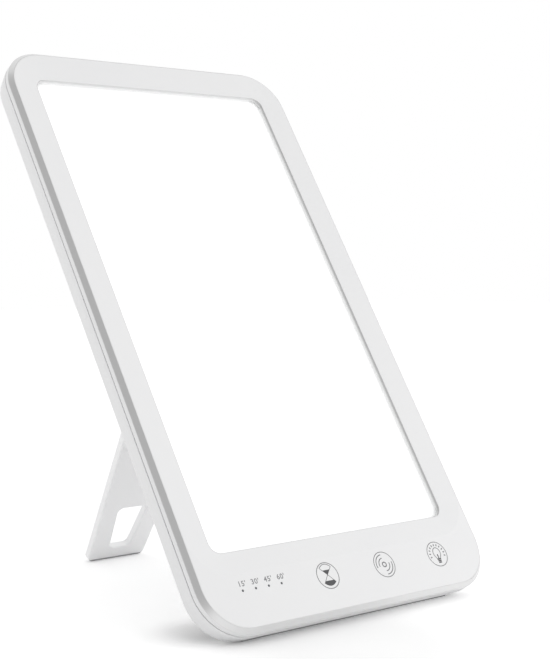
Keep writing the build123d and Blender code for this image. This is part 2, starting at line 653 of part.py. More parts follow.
def on_board(place, size):
    """A component on the board's back, centred on a place."""
    x_range = (place[0] - size[0] / 2, place[0] + size[0] / 2)
    heights = (place[1] - size[1] / 2, place[1] + size[1] / 2)
    block(x_range, heights, (board_back, board_back + size[2]))


with BuildPart() as control_chip:
    on_board(CHIP_PLACE, CHIP_SIZE)
save(control_chip, "control_chip")

with BuildPart() as power_inductor:
    on_board((inductor_x, INDUCTOR_MIDDLE), INDUCTOR_SIZE)
save(power_inductor, "power_inductor")

with BuildPart() as capacitors:
    posts(capacitor_places, CAPACITOR_RADIUS, (board_back, board_back + CAPACITOR_LENGTH))
save(capacitors, "capacitors")

with BuildPart() as lead_connectors:
    for side in (-1, 1):
        on_board((side * connector_x, connector_height), CONNECTOR_SIZE)
save(lead_connectors, "lead_connectors")

with BuildPart() as led_leads:
    lead_depth = board_back + CONNECTOR_SIZE[2] / 2
    connector_side = connector_x + CONNECTOR_SIZE[0] / 2
    for x_range in both_sides(connector_side, led_board_inner):
        for step in (-0.5, 0.5):
            bar(x_range, connector_height + step * LEAD_SPACING, lead_depth, LEAD_RADIUS)
save(led_leads, "led_leads")

with BuildPart() as timer_leds:
    led_x, led_y, led_z = TIMER_LED_SIZE
    for x, height in dot_places:
        block((x - led_x / 2, x + led_x / 2), (height - led_y / 2, height + led_y / 2),
              (board_front - led_z, board_front))
save(timer_leds, "timer_leds")

with BuildPart() as light_pipes:
    posts(dot_places, PIPE_RADIUS, (0, FACE_WALL))
    pipe_end = board_front - TIMER_LED_SIZE[2] - PIPE_LED_GAP
    posts(dot_places, PIPE_FLANGE_RADIUS, (FACE_WALL, pipe_end))
save(light_pipes, "light_pipes")

with BuildPart() as key_pads:
    posts(key_places, KEY_PAD_RADIUS, (FACE_WALL, board_front))
save(key_pads, "key_pads")

with BuildPart() as power_jack:
    body_heights = (JACK_HEIGHT - JACK_BODY[1] / 2, JACK_HEIGHT + JACK_BODY[1] / 2)
    body_depths = (board_back, board_back + JACK_BODY[2])
    block((jack_body_start, jack_body_end), body_heights, body_depths)
    bar((jack_body_end, jack_nose_end), JACK_HEIGHT, jack_depth, JACK_NOSE_RADIUS)
    jack_bore = (jack_nose_end - JACK_BORE_DEPTH, jack_nose_end)
    bar(jack_bore, JACK_HEIGHT, jack_depth, JACK_BORE_RADIUS, Mode.SUBTRACT)
save(power_jack, "power_jack")

with BuildPart() as jack_pin:
    bar((jack_bore[0], jack_nose_end - JACK_PIN_SHORT), JACK_HEIGHT, jack_depth, JACK_PIN_RADIUS)
save(jack_pin, "jack_pin")

# ---------------------------------------------------------------- screws
case_screws = screws(
    case_screw_places, head_seat, head_seat - CASE_BOSS_END + CASE_SCREW_BITE
)
save(case_screws, "case_screws")
board_screws = screws(board_screw_places, board_back, BOARD_THICK + BOARD_SCREW_BITE)
save(board_screws, "board_screws")
cap_screws = screws(cap_screw_places, cap_head_seat, cap_head_seat - cap_front + CAP_SCREW_BITE)
save(cap_screws, "cap_screws")

print(f"lean {LEAN} deg, stand opens {degrees(stand_opening):.2f} deg")
print(f"stand from the floor {90 - degrees(stand_tilt):.2f} deg, length {stand_length:.1f} mm")
print(f"hinge axis y {axis_y:.3f} z {axis_z:.3f}, face corner y {face_y:.3f} z {face_z:.3f}")
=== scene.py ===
# %% [markdown]
# # A light therapy lamp, dressed for its picture
#
# The lamp is a slim white tablet that leans back on a kick-stand. Its construction is already made
# as solids, so this lesson gives those solids their finishes, prints the marks on the control strip,
# and sets up a bright studio with the camera in front and to the left.
#
# Everything is in metres and in one frame: +Z up, and the light window faces -Y.

from math import acos, cos, degrees, radians, sin

import bmesh
import bpy
from mathutils import Matrix, Vector


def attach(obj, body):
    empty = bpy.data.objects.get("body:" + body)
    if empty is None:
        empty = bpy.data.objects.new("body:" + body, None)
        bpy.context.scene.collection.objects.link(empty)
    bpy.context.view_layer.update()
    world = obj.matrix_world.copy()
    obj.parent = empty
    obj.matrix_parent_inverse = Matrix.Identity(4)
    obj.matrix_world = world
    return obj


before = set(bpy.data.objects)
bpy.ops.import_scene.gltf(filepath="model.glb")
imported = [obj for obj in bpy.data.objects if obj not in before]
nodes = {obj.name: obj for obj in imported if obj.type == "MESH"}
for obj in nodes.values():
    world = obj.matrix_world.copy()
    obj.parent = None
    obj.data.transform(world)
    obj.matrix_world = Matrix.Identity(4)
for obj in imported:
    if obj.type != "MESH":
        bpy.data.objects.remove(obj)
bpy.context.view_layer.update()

# %% [markdown]
# Sizes on a product are easiest to think of in millimetres, and Blender works in metres here, so one
# constant turns one into the other. A second constant is the distance, also in millimetres, below
# which two corners of a mesh count as one. Screen colours are written as hex values, the way a designer
# notes them. A renderer adds up light, which needs linear values, so one function converts them.

# %% Units and colours
MM = 0.001
WELD = 0.001


def linear(hex_colour):
    """An sRGB hex colour, such as "#F2F2F0", as linear red, green and blue with full alpha."""
    shares = [int(hex_colour[start:start + 2], 16) / 255 for start in (1, 3, 5)]
    values = [s / 12.92 if s <= 0.04045 else ((s + 0.055) / 1.055) ** 2.4 for s in shares]
    return (*values, 1.0)


print("mid grey is", [round(value, 3) for value in linear("#808080")])

# %% [markdown]
# A procedural material is a chain of nodes: a pattern, a curve that shapes it, and the shader. One
# small function adds any node, sets its values and plugs in what feeds it, so each material below
# reads from top to bottom like a recipe. Another passes on the larger of two values. A Mix node has
# one set of sockets for each kind of data, so its colour sockets go by number: 0 is the share, 6 and 7
# are the two colours, and 2 is the result.

# %% Helpers for materials


def new_material(name):
    """An empty node material with its shader and output, and the node tree that holds them."""
    material = bpy.data.materials.new(name)
    material.use_nodes = True
    tree = material.node_tree
    tree.nodes.clear()
    shader = add_node(tree, "ShaderNodeBsdfPrincipled")
    add_node(tree, "ShaderNodeOutputMaterial", {"Surface": shader.outputs["BSDF"]})
    return material, tree, shader


def add_node(tree, kind, inputs=None, **settings):
    """Adds a node. inputs maps a socket to its value, or to the output that is plugged into it."""
    made = tree.nodes.new(kind)
    for name, value in settings.items():
        setattr(made, name, value)
    for socket, value in (inputs or {}).items():
        if isinstance(value, bpy.types.NodeSocket):
            tree.links.new(value, made.inputs[socket])
        else:
            made.inputs[socket].default_value = value
    return made


def larger_of(tree, first, second):
    """The larger of two outputs."""
    node = add_node(tree, "ShaderNodeMath", {0: first, 1: second}, operation="MAXIMUM")
    return node.outputs["Value"]


def per_metre(size_mm):
    """The scale of a pattern whose cells are this many millimetres across."""
    return 1 / (size_mm * MM)


def dress(material, *names):
    """Gives nodes of the model a material."""
    for name in names:
        node = nodes[name]
        node.data.materials.clear()
        node.data.materials.append(material)
    print(material.name, "on", ", ".join(names))


# %% [markdown]
# ## White ABS
#
# The shells are injection-moulded ABS, a tough white plastic. The tool's cavity is spark-eroded, so
# the skin has a very fine even grain and a soft sheen. Grit of 0.1 mm would be too fine to see from
# this distance, so it is drawn at 0.5 mm and kept shallow. A second, much larger noise stands for the
# slight clouding where the plastic flowed. The Bevel node rounds the shading of sharp edges by 0.35 mm,
# the way a real tool can't leave a perfectly sharp edge.

# %% White ABS, spark-eroded
SPARK_GRAIN = 0.5
GRAIN_DEPTH = 0.05
FLOW_CLOUD = 60.0
MOULDED_EDGE = 0.35
ABS_ROUGHNESS = 0.42
ABS_SPREAD = 0.05


def moulded_abs(name, colour, cloud_colour):
    """Moulded ABS with a fine grain, faint clouding and softened edges."""
    material, tree, shader = new_material(name)
    place = add_node(tree, "ShaderNodeTexCoord").outputs["Object"]
    cloud = add_node(tree, "ShaderNodeTexNoise",
                     {"Vector": place, "Scale": per_metre(FLOW_CLOUD), "Detail": 3.0})
    tint = add_node(tree, "ShaderNodeMix",
                    {0: cloud.outputs["Fac"], 6: linear(colour), 7: linear(cloud_colour)},
                    data_type="RGBA")
    grain = add_node(tree, "ShaderNodeTexNoise",
                     {"Vector": place, "Scale": per_metre(SPARK_GRAIN), "Detail": 4.0})
    sheen = add_node(tree, "ShaderNodeMapRange",
                     {"Value": grain.outputs["Fac"], "To Min": ABS_ROUGHNESS - ABS_SPREAD,
                      "To Max": ABS_ROUGHNESS + ABS_SPREAD})
    edge = add_node(tree, "ShaderNodeBevel", {"Radius": MOULDED_EDGE * MM}, samples=6)
    bump = add_node(tree, "ShaderNodeBump",
                    {"Height": grain.outputs["Fac"], "Strength": 0.06, "Distance": GRAIN_DEPTH * MM,
                     "Normal": edge.outputs["Normal"]})
    tree.links.new(tint.outputs[2], shader.inputs["Base Color"])
    tree.links.new(sheen.outputs["Result"], shader.inputs["Roughness"])
    tree.links.new(bump.outputs["Normal"], shader.inputs["Normal"])
    shader.inputs["IOR"].default_value = 1.54
    return material


dress(moulded_abs("white ABS, spark-eroded", "#ECECEC", "#E9E9EA"),
      "front_frame", "rear_cover", "hinge_cap")
# The kick-stand is the same white ABS, painted lighter: painted light that makes up for the shade it
# stands in.
dress(moulded_abs("white ABS, spark-eroded, painted lighter", "#FBFBFB", "#F8F8F9"), "kick_stand")

# %% [markdown]
# ## Satin anodised aluminium
#
# The ring round the rim is drawn aluminium that was bead-blasted and anodised clear. It has no colour
# of its own beyond the metal's pale grey, so what the eye reads is the room: dark where it faces a
# dark part of the studio, nearly white where it faces the floor. Blasting leaves pits of about 0.1 mm,
# which are drawn at 0.4 mm so that they can be seen at all.

# %% Satin anodised aluminium
BLAST_PIT = 0.4
PIT_DEPTH = 0.02
METAL_EDGE = 0.12
METAL_SPREAD = 0.04


def satin_metal(name, colour, roughness, pit_mm, pit_strength):
    """A metal with an even, finely pitted skin."""
    material, tree, shader = new_material(name)
    place = add_node(tree, "ShaderNodeTexCoord").outputs["Object"]
    pits = add_node(tree, "ShaderNodeTexNoise",
                    {"Vector": place, "Scale": per_metre(pit_mm), "Detail": 3.0})
    sheen = add_node(tree, "ShaderNodeMapRange",
                     {"Value": pits.outputs["Fac"], "To Min": roughness - METAL_SPREAD,
                      "To Max": roughness + METAL_SPREAD})
    edge = add_node(tree, "ShaderNodeBevel", {"Radius": METAL_EDGE * MM}, samples=6)
    bump = add_node(tree, "ShaderNodeBump",
                    {"Height": pits.outputs["Fac"], "Strength": pit_strength,
                     "Distance": PIT_DEPTH * MM, "Normal": edge.outputs["Normal"]})
    tree.links.new(sheen.outputs["Result"], shader.inputs["Roughness"])
    tree.links.new(bump.outputs["Normal"], shader.inputs["Normal"])
    shader.inputs["Base Color"].default_value = linear(colour)
    shader.inputs["Metallic"].default_value = 1.0
    return material


dress(satin_metal("anodised aluminium, bead-blasted", "#DCDCDC", 0.34, BLAST_PIT, 0.2), "edge_trim")

# %% [markdown]
# ## The lit window
#
# The window is a sheet of opal acrylic, PMMA with a white pigment that scatters the light of the LEDs
# at its edges until no single one can be seen. It could be lit by real lamps behind it, but an even
# glow is exactly what the sheet is made for, so the material itself gives off white light. A very
# faint, large cloud in the glow keeps it from being one flat number. The last millimetres beside the
# frame are painted in shade: the Ambient Occlusion node says how much of the space in front of a point
# is open, and where half of it is closed, the glow has faded out.

# %% Opal acrylic, lit
WINDOW_GLOW = 0.4
GLOW_CLOUD = 90.0
GLOW_MARGIN = 4.0
GLOW_ENDS = 0.5

opal, tree, shader = new_material("opal acrylic, lit")
place = add_node(tree, "ShaderNodeTexCoord").outputs["Object"]
cloud = add_node(tree, "ShaderNodeTexNoise", {"Vector": place, "Scale": per_metre(GLOW_CLOUD)})
glow = add_node(tree, "ShaderNodeMix",
                {0: cloud.outputs["Fac"], 6: linear("#FFFFFF"), 7: linear("#FCFDFD")},
                data_type="RGBA")
# Painted shade: the glow fades out where the frame's wall closes in over the sheet.
open_space = add_node(tree, "ShaderNodeAmbientOcclusion", {"Distance": GLOW_MARGIN * MM}, samples=8)
strength = add_node(tree, "ShaderNodeMapRange",
                    {"Value": open_space.outputs["AO"], "From Min": GLOW_ENDS,
                     "To Max": WINDOW_GLOW})
tree.links.new(glow.outputs[2], shader.inputs["Emission Color"])
tree.links.new(glow.outputs[2], shader.inputs["Base Color"])
tree.links.new(strength.outputs["Result"], shader.inputs["Emission Strength"])
shader.inputs["Roughness"].default_value = 0.35
shader.inputs["IOR"].default_value = 1.49
dress(opal, "diffuser_plate")

# %% [markdown]
# ## Grey rubber
#
# The strip under the case and the end of the stand are grey EPDM rubber. Rubber is matt, and fine dust
# sits in its skin. In the shade under the lamp the grey looks much darker than it is.

# %% EPDM rubber
DUST = 1.2
DUST_DEPTH = 0.1


def soft_rubber(name, colour, dust_colour):
    """Moulded rubber with a dusty, uneven skin."""
    material, tree, shader = new_material(name)
    place = add_node(tree, "ShaderNodeTexCoord").outputs["Object"]
    dust = add_node(tree, "ShaderNodeTexNoise",
                    {"Vector": place, "Scale": per_metre(DUST), "Detail": 6.0})
    tint = add_node(tree, "ShaderNodeMix",
                    {0: dust.outputs["Fac"], 6: linear(colour), 7: linear(dust_colour)},
                    data_type="RGBA")
    bump = add_node(tree, "ShaderNodeBump",
                    {"Height": dust.outputs["Fac"], "Strength": 0.3, "Distance": DUST_DEPTH * MM})
    tree.links.new(tint.outputs[2], shader.inputs["Base Color"])
    tree.links.new(bump.outputs["Normal"], shader.inputs["Normal"])
    shader.inputs["Roughness"].default_value = 0.75
    shader.inputs["IOR"].default_value = 1.52
    return material


dress(soft_rubber("EPDM rubber, grey", "#A0A0A2", "#ABABAD"), "base_strip", "foot_pad")
dress(soft_rubber("conductive foam", "#2C2C2E", "#3C3C40"), "key_pads")

# %% [markdown]
# ## Small plastics and the boards
#
# Moulded parts that hardly show, such as the smoky light pipes, the acetal washers or the nylon
# connectors, share one recipe with their own colour, gloss and refraction. A mottle of a few
# millimetres stands for the uneven pigment that small mouldings have.

# %% Small moulded and coated parts
MOTTLE = 3.0
MOTTLE_DEPTH = 0.05


def small_part(name, colour, mottle_colour, roughness, ior, mottle_mm=MOTTLE):
    """A small moulded, coated or soldered part with slightly uneven colour."""
    material, tree, shader = new_material(name)
    place = add_node(tree, "ShaderNodeTexCoord").outputs["Object"]
    mottle = add_node(tree, "ShaderNodeTexNoise",
                      {"Vector": place, "Scale": per_metre(mottle_mm), "Detail": 4.0})
    tint = add_node(tree, "ShaderNodeMix",
                    {0: mottle.outputs["Fac"], 6: linear(colour), 7: linear(mottle_colour)},
                    data_type="RGBA")
    bump = add_node(tree, "ShaderNodeBump",
                    {"Height": mottle.outputs["Fac"], "Strength": 0.05,
                     "Distance": MOTTLE_DEPTH * MM})
    tree.links.new(tint.outputs[2], shader.inputs["Base Color"])
    tree.links.new(bump.outputs["Normal"], shader.inputs["Normal"])
    shader.inputs["Roughness"].default_value = roughness
    shader.inputs["IOR"].default_value = ior
    return material


dress(small_part("polycarbonate, smoke", "#55575B", "#5E6064", 0.25, 1.58), "light_pipes")
dress(small_part("acetal, natural", "#E2E2DC", "#D9D9D2", 0.4, 1.48), "hinge_washers")
dress(small_part("nylon, natural", "#E6E1D2", "#DDD7C4", 0.5, 1.53), "lead_connectors")
dress(small_part("silicone, white", "#DCDCDA", "#D0D0CE", 0.6, 1.41), "led_leads")
dress(small_part("epoxy, black", "#1B1B1D", "#26262A", 0.45, 1.55), "control_chip", "power_jack")
dress(small_part("ferrite", "#35363A", "#46474B", 0.7, 1.6, 0.6), "power_inductor")
dress(small_part("glass-fibre board, green", "#1C5B36", "#24683F", 0.35, 1.5), "control_board")
dress(small_part("white solder mask", "#ECECE6", "#E2E2DA", 0.4, 1.5),
      "led_board_left", "led_board_right")
dress(small_part("LED phosphor", "#F0D77A", "#E8CB63", 0.45, 1.45),
      "leds_left", "leds_right", "timer_leds")
dress(small_part("PET film, matt white", "#F6F6F4", "#F0F0EE", 0.55, 1.57, 20.0),
      "diffuser_film", "reflector_sheet")
dress(small_part("acrylic light guide", "#E6EEEC", "#DDE8E5", 0.12, 1.49, 8.0), "light_guide")

# %% [markdown]
# ## Plain metals
#
# Screws and the hinge pin are zinc-plated steel, the tray and the capacitors' cans are bare
# aluminium, and the inlet's pin is nickel over brass. All of them are the satin metal again, with the
# colour and polish of each.

# %% Plain metals
dress(satin_metal("zinc-plated steel", "#B9BBBF", 0.3, 0.8, 0.25),
      "case_screws", "board_screws", "cap_screws", "hinge_pin")
dress(satin_metal("aluminium, bare", "#CFD0D1", 0.42, 1.5, 0.2), "back_tray", "capacitors")
dress(satin_metal("nickel-plated brass", "#C9C4B4", 0.2, 0.8, 0.1), "jack_pin")

# %% [markdown]
# ## The face's own plane
#
# The marks are printed on the flat strip under the window, and the strip leans back with the case.
# The opal sheet leans by the same angle, and its front is the largest front-facing polygon, so it
# tells which way the face looks. The light pipes end flush with the strip and tell how far out it is,
# and the pipes and the key pads tell where each mark goes. Nothing has to be placed by eye.

# %% Where the strip is
sheet = nodes["diffuser_plate"].data
sheet_front = max((polygon for polygon in sheet.polygons if polygon.normal.y < 0),
                  key=lambda polygon: polygon.area)
face_normal = sheet_front.normal.normalized()
face_right = Vector((1, 0, 0))
face_up = face_normal.cross(face_right)
face_level = max(face_normal.dot(vertex.co) for vertex in nodes["light_pipes"].data.vertices)
print("the face leans back", round(degrees(acos(-face_normal.y)), 2), "degrees")


def on_face(point, lift_mm):
    """A matrix that lays a flat drawing on the face, at the spot in front of a point."""
    spot = point + (face_level + lift_mm * MM - face_normal.dot(point)) * face_normal
    turn = Matrix((face_right, face_up, face_normal)).transposed().to_4x4()
    return Matrix.Translation(spot) @ turn


def centres(name):
    """The middle of each separate solid of a node, from left to right."""
    work = bmesh.new()
    work.from_mesh(nodes[name].data)
    bmesh.ops.remove_doubles(work, verts=work.verts, dist=WELD * MM)
    left, found = set(work.verts), []
    while left:
        island, border = set(), [left.pop()]
        while border:
            vertex = border.pop()
            island.add(vertex)
            for edge in vertex.link_edges:
                other = edge.other_vert(vertex)
                if other in left:
                    left.remove(other)
                    border.append(other)
        corners = [[vertex.co[axis] for vertex in island] for axis in range(3)]
        found.append(Vector([(min(values) + max(values)) / 2 for values in corners]))
    work.free()
    return sorted(found, key=lambda point: point.x)


key_spots = centres("key_pads")
dot_spots = centres("light_pipes")
print(len(key_spots), "keys and", len(dot_spots), "timer lights")

# %% [markdown]
# ## Painted shade on the window wall
#
# A thin grey lining covers the wall between the border and the opal sheet: a painted shade laid over
# the wall. It is cut from the wall's own polygons and made 0.15 mm thick, so it fits exactly. Its
# colour
# is painted light and shade: dark at the border and pale beside the lit sheet, and much darker on the
# side that turns to the dark left of the room than on the sides that see the floor or the ceiling.

# %% Painted shade on the window wall
LINING_THICK = 0.15
WALL_FRONT = 1.6
WALL_BACK = 4.1
PAINTED_DARK_END = 2.1
WALL_TOLERANCE = 0.02
SIDE_STARTS = -0.25
SIDE_FULL = -0.9

work = bmesh.new()
work.from_mesh(nodes["front_frame"].data)


def is_wall(polygon):
    """True for a polygon of the wall round the window, which has its own two depths."""
    depths = [(face_level - face_normal.dot(vertex.co)) / MM for vertex in polygon.verts]
    misses = (abs(min(depths) - WALL_FRONT), abs(max(depths) - WALL_BACK))
    return max(misses) < WALL_TOLERANCE


others = [polygon for polygon in work.faces if not is_wall(polygon)]
bmesh.ops.delete(work, geom=others, context="FACES")
bmesh.ops.remove_doubles(work, verts=work.verts, dist=WELD * MM)
print(len(work.faces), "polygons of wall")
# A lining of painted shade over the window wall, not a part of the lamp.
shade_lining_mesh = bpy.data.meshes.new("window_shade_lining")
work.to_mesh(shade_lining_mesh)
work.free()
shade_lining = bpy.data.objects.new("window_shade_lining", shade_lining_mesh)
bpy.context.scene.collection.objects.link(shade_lining)
skin = shade_lining.modifiers.new("skin", "SOLIDIFY")
skin.thickness = LINING_THICK * MM
skin.offset = 1.0
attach(shade_lining, "case")

# The lining's material: painted light and shade in its colour, pale next to the lit sheet and darker
# where it faces left.
silicone, tree, shader = new_material("painted shade, window wall")
coordinates = add_node(tree, "ShaderNodeTexCoord")
along = add_node(tree, "ShaderNodeVectorMath",
                 {0: coordinates.outputs["Object"], 1: face_normal}, operation="DOT_PRODUCT")
# Painted light: the lining turns pale towards the lit sheet.
painted_spill = add_node(tree, "ShaderNodeMapRange",
                 {"Value": along.outputs["Value"], "From Min": face_level - PAINTED_DARK_END * MM,
                  "From Max": face_level - WALL_BACK * MM}, interpolation_type="SMOOTHSTEP")
# Painted shade: the side that faces left is darker.
facing = add_node(tree, "ShaderNodeSeparateXYZ", {"Vector": coordinates.outputs["Normal"]})
side = add_node(tree, "ShaderNodeMapRange",
                {"Value": facing.outputs["X"], "From Min": SIDE_STARTS, "From Max": SIDE_FULL})
front = add_node(tree, "ShaderNodeMix",
                 {0: side.outputs["Result"], 6: linear("#D4D4D4"), 7: linear("#AEAEAE")},
                 data_type="RGBA")
tint = add_node(tree, "ShaderNodeMix",
                {0: painted_spill.outputs["Result"], 6: front.outputs[2], 7: linear("#F8F8F8")},
                data_type="RGBA")
tree.links.new(tint.outputs[2], shader.inputs["Base Color"])
shader.inputs["Roughness"].default_value = 0.6
shader.inputs["IOR"].default_value = 1.41
shade_lining_mesh.materials.clear()
shade_lining_mesh.materials.append(silicone)

# %% [markdown]
# ## Printed marks
#
# The marks are pad-printed in grey ink: a film of ink that stands a few hundredths of a millimetre
# proud. They could be painted into the shell's material, but a drawing made of real outlines stays
# sharp from any distance. Each mark is a flat curve with a little thickness: nested loops leave
# holes, so a ring is simply a large circle and a smaller one.

# %% Ink and drawing helpers
INK_FILM = 0.02
RING_LINE = 0.34

ink = small_part("pad-printing ink, grey", "#6E6E70", "#78787A", 0.5, 1.5, 0.6)
dark_ink = small_part("pad-printing ink, dark grey", "#4A4A4C", "#525254", 0.5, 1.5, 0.6)
pale_ink = small_part("pad-printing ink, light grey", "#88888A", "#909092", 0.5, 1.5, 0.6)


def arc(radius, start, end, steps=48, centre=(0, 0), squeeze=1.0):
    """Points on an arc, in degrees from +X. squeeze narrows it sideways."""
    angles = [radians(start + (end - start) * step / steps) for step in range(steps + 1)]
    return [(centre[0] + squeeze * radius * cos(a), centre[1] + radius * sin(a)) for a in angles]


def ring(radius, line=RING_LINE):
    """The two loops of a circle drawn with a line."""
    return [arc(radius + side * line / 2, 0, 360)[:-1] for side in (1, -1)]


def line_arc(radius, start, end, line):
    """The loop of an arc drawn with a line."""
    return arc(radius + line / 2, start, end) + arc(radius - line / 2, end, start)


def stroke(start, end, line):
    """The loop of a straight line between two points."""
    along = Vector((end[0] - start[0], end[1] - start[1])).normalized() * line / 2
    across = (-along.y, along.x)
    return [(x + side * across[0], y + side * across[1])
            for (x, y), side in ((start, 1), (end, 1), (end, -1), (start, -1))]


def print_mark(name, loops, point, material):
    """Prints closed loops, in millimetres, on the face in front of a point."""
    drawing = bpy.data.curves.new(name, "CURVE")
    drawing.dimensions = "2D"
    drawing.fill_mode = "BOTH"
    drawing.extrude = INK_FILM * MM / 2
    for loop in loops:
        line = drawing.splines.new("POLY")
        line.points.add(len(loop) - 1)
        line.points.foreach_set("co", [value for x, y in loop for value in (x * MM, y * MM, 0, 1)])
        line.use_cyclic_u = True
    lay_down(name, drawing, point, material)


def lay_down(name, drawing, point, material):
    """Turns a drawing into a clean mesh on the face, which moves with the case."""
    sketch = bpy.data.objects.new(name + "_sketch", drawing)
    bpy.context.scene.collection.objects.link(sketch)
    bpy.context.view_layer.update()
    depsgraph = bpy.context.evaluated_depsgraph_get()
    mesh = bpy.data.meshes.new_from_object(sketch.evaluated_get(depsgraph))
    bpy.data.objects.remove(sketch)
    work = bmesh.new()
    work.from_mesh(mesh)
    bmesh.ops.remove_doubles(work, verts=work.verts, dist=WELD * MM)
    bmesh.ops.dissolve_degenerate(work, edges=work.edges, dist=WELD * MM)
    bmesh.ops.recalc_face_normals(work, faces=work.faces)
    work.to_mesh(mesh)
    work.free()
    mesh.transform(on_face(point, INK_FILM / 2))
    mesh.materials.clear()
    mesh.materials.append(material)
    mark = bpy.data.objects.new(name, mesh)
    bpy.context.scene.collection.objects.link(mark)
    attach(mark, "case")


print("ink film", INK_FILM, "mm, ring line", RING_LINE, "mm")

# %% [markdown]
# The first key sets the timer and shows an hourglass. Two straight sides cross at the neck, arcs close
# it above and below, and the sand is filled in solid: a wedge above the neck and a heap at the foot.

# %% Key 1: hourglass
KEY_RING = 6.0
GLASS_TOP = 3.8
GLASS_FOOT = -3.3
GLASS_HALF = 3.3
GLASS_NECK = (0.0, 0.4)
GLASS_LINE = 0.26
LID_RISE = 1.5
LID_LINE = 0.3
BOW_STEPS = 12
SAND_LEVEL = 2.6
SAND_HALF = 2.1
HEAP_LEVEL = -2.3
HEAP_HALF = 2.5
HEAP_DEPTH = 1.45


def bow(height, rise):
    """Points on a shallow curve across the glass, from left to right."""
    places = [GLASS_HALF * step / BOW_STEPS for step in range(-BOW_STEPS, BOW_STEPS + 1)]
    return [(x, height + rise * (1 - (x / GLASS_HALF) ** 2)) for x in places]


print_mark("key_ring_timer", ring(KEY_RING), key_spots[0], ink)

hourglass = [stroke((side * GLASS_HALF, end), GLASS_NECK, GLASS_LINE)
             for end in (GLASS_TOP, GLASS_FOOT) for side in (-1, 1)]
lid = bow(GLASS_TOP, LID_RISE)
hourglass += [stroke(a, b, LID_LINE) for a, b in zip(lid, lid[1:])]
for number, loop in enumerate(hourglass):
    print_mark(f"hourglass_line_{number:02d}", [loop], key_spots[0], ink)

upper_sand = [(-SAND_HALF, SAND_LEVEL), (SAND_HALF, SAND_LEVEL), GLASS_NECK]
heap = [(-HEAP_HALF, HEAP_LEVEL), (HEAP_HALF, HEAP_LEVEL)] + bow(GLASS_FOOT, -HEAP_DEPTH)[::-1]
print_mark("hourglass_sand_upper", [upper_sand], key_spots[0], dark_ink)
print_mark("hourglass_sand_lower", [heap], key_spots[0], dark_ink)
print("hourglass of", len(hourglass), "lines")

# %% [markdown]
# The second key sets how warm the light is. Its mark is a small ring with arcs that spread from it to
# the upper left and the lower right, like ripples.

# %% Key 2: ripples
RIPPLE_CENTRE = 1.1
RIPPLE_CENTRE_LINE = 0.52
RIPPLE_RADII = (3.05, 4.7)
RIPPLE_STARTS = (92, 268)
RIPPLE_SWEEP = 102
RIPPLE_LINE = 0.42

print_mark("key_ring_warmth", ring(KEY_RING), key_spots[1], ink)
print_mark("ripple_centre", ring(RIPPLE_CENTRE, RIPPLE_CENTRE_LINE), key_spots[1], ink)
for radius in RIPPLE_RADII:
    for start in RIPPLE_STARTS:
        ripple = line_arc(radius, start, start + RIPPLE_SWEEP, RIPPLE_LINE)
        print_mark(f"ripple_{int(radius * 10)}_{start}", [ripple], key_spots[1], ink)
print("ripples at", RIPPLE_RADII, "mm")

# %% [markdown]
# The third key sets the brightness. A light bulb stands in a ring of short rays that leaves out the
# bulb's foot.

# %% Key 3: light bulb
BULB_RADIUS = 2.6
BULB_CENTRE = (0, 0.55)
BULB_NARROWING = 0.86
BULB_START = -40
BULB_END = 220
BULB_STEPS = 40
BULB_LINE = 0.36
NECK_HALF = 1.0
NECK_FOOT = -2.2
SCREW_HEIGHTS = (-2.5, -3.3, -4.1)
SCREW_HALF = 1.2
SCREW_TAPER = 0.15
SCREW_LINE = 0.62
STEM_TOP = -0.1
STEM_LINE = 0.6
RAYS = 11
RAY_START = -15
RAY_SWEEP = 210
RAY_ENDS = (4.0, 5.0)
RAY_LINE = 0.55

print_mark("key_ring_brightness", ring(KEY_RING), key_spots[2], ink)

glass = arc(BULB_RADIUS, BULB_START, BULB_END, BULB_STEPS, BULB_CENTRE, BULB_NARROWING)
glass = [(NECK_HALF, NECK_FOOT)] + glass + [(-NECK_HALF, NECK_FOOT)]
for number, (a, b) in enumerate(zip(glass, glass[1:])):
    print_mark(f"bulb_line_{number:02d}", [stroke(a, b, BULB_LINE)], key_spots[2], ink)
for number, height in enumerate(SCREW_HEIGHTS):
    half = SCREW_HALF - SCREW_TAPER * number
    turn = stroke((-half, height), (half, height), SCREW_LINE)
    print_mark(f"bulb_foot_{number}", [turn], key_spots[2], dark_ink)
stem = stroke((0, NECK_FOOT), (0, STEM_TOP), STEM_LINE)
print_mark("bulb_stem", [stem], key_spots[2], dark_ink)
for number in range(RAYS):
    angle = radians(RAY_START + RAY_SWEEP * number / (RAYS - 1))
    inner, outer = [(length * cos(angle), length * sin(angle)) for length in RAY_ENDS]
    print_mark(f"bulb_ray_{number:02d}", [stroke(inner, outer, RAY_LINE)], key_spots[2], ink)
print(RAYS, "rays")

# %% [markdown]
# Above each timer light stands its number of minutes, with a minute stroke. Blender's own font is
# plain enough for that. The numbers are text objects, turned into meshes like the drawings.

# %% Timer numbers
DIGIT_HEIGHT = 2.4
DIGIT_RISE = 2.0
DIGIT_SHIFT = 0.75
FONT_CAP_SHARE = 0.73
DIGIT_BOLD = 0.055
DIGIT_SPACING = 1.12

for minutes, spot in zip((15, 30, 45, 60), dot_spots):
    label = bpy.data.curves.new(f"minutes_{minutes}", "FONT")
    label.body = f"{minutes}'"
    label.size = DIGIT_HEIGHT * MM / FONT_CAP_SHARE
    label.align_x = "CENTER"
    label.extrude = INK_FILM * MM / 2
    label.offset = DIGIT_BOLD * MM
    label.space_character = DIGIT_SPACING
    place = spot + DIGIT_SHIFT * MM * face_right + DIGIT_RISE * MM * face_up
    lay_down(f"minutes_{minutes}", label, place, pale_ink)
print("numbers", DIGIT_HEIGHT, "mm high")

